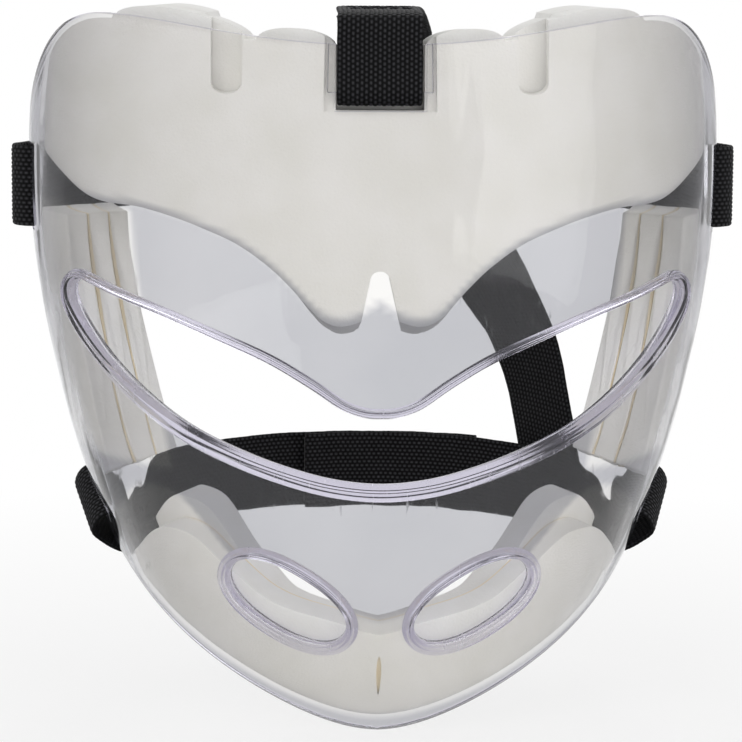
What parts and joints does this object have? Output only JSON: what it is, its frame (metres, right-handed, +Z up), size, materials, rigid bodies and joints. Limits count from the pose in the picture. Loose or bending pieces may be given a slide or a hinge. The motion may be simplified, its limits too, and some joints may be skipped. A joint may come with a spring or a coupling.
{
  "type": "field hockey face mask",
  "caption": "Clear moulded face mask with a rimmed eye opening and breathing vents, layered foam pads inside and a black webbing head harness.",
  "frame": {"origin": "where the mask bears on the wearer's brow: on the middle plane, level with the eyes, in the plane of the forehead pad's contact face", "axes": "the face looks towards -Y, +X is to the right of a viewer who looks at the mask, +Z is up"},
  "size_m": [0.2238, 0.1722, 0.214],
  "materials": {
    "clear_plastic": "clear, glossy",
    "white_foam": "soft closed-cell foam, matt",
    "black_webbing": "woven webbing",
    "hook_and_loop": "hook and loop pile"
  },
  "bodies": {
    "mask": {"clear_shell": "clear_plastic", "forehead_base_foam": "white_foam", "forehead_contact_foam": "white_foam", "temple_base_foam_left": "white_foam", "temple_middle_foam_left": "white_foam", "temple_contact_foam_left": "white_foam", "temple_base_foam_right": "white_foam", "temple_middle_foam_right": "white_foam", "temple_contact_foam_right": "white_foam", "chin_base_foam": "white_foam", "chin_contact_foam": "white_foam", "crown_bar_loop": "black_webbing"},
    "crown": {"crown_strap": "black_webbing", "crown_hook_patch": "hook_and_loop"},
    "upper_left": {"upper_band_left": "black_webbing", "upper_hook_patch": "hook_and_loop"},
    "upper_right": {"upper_band_right": "black_webbing", "upper_loop_patch": "hook_and_loop"},
    "lower_left": {"lower_band_left": "black_webbing", "lower_hook_patch": "hook_and_loop"},
    "lower_right": {"lower_band_right": "black_webbing", "lower_loop_patch": "hook_and_loop", "crown_loop_patch": "hook_and_loop"}
  },
  "joints": [
    {"name": "crown_fold", "type": "hinge", "parent": "mask", "child": "crown", "pos_m": [0, 0.002, 0.1098], "axis": [1, 0, 0], "range_deg": [0, 60]},
    {"name": "upper_left_swing", "type": "hinge", "parent": "mask", "child": "upper_left", "pos_m": [-0.10507, 0.0335, 0.0535], "axis": [0, 0, 1], "range_deg": [0, 70]},
    {"name": "upper_right_swing", "type": "hinge", "parent": "mask", "child": "upper_right", "pos_m": [0.10507, 0.0335, 0.0535], "axis": [0, 0, 1], "range_deg": [0, 15]},
    {"name": "lower_left_swing", "type": "hinge", "parent": "mask", "child": "lower_left", "pos_m": [-0.08347, 0.02216, -0.04489], "axis": [-0.256, 0.8442, 0.471], "range_deg": [0, 45]},
    {"name": "lower_right_swing", "type": "hinge", "parent": "mask", "child": "lower_right", "pos_m": [0.08347, 0.02216, -0.04489], "axis": [0.256, 0.8442, 0.471], "range_deg": [0, 12]}
  ]
}
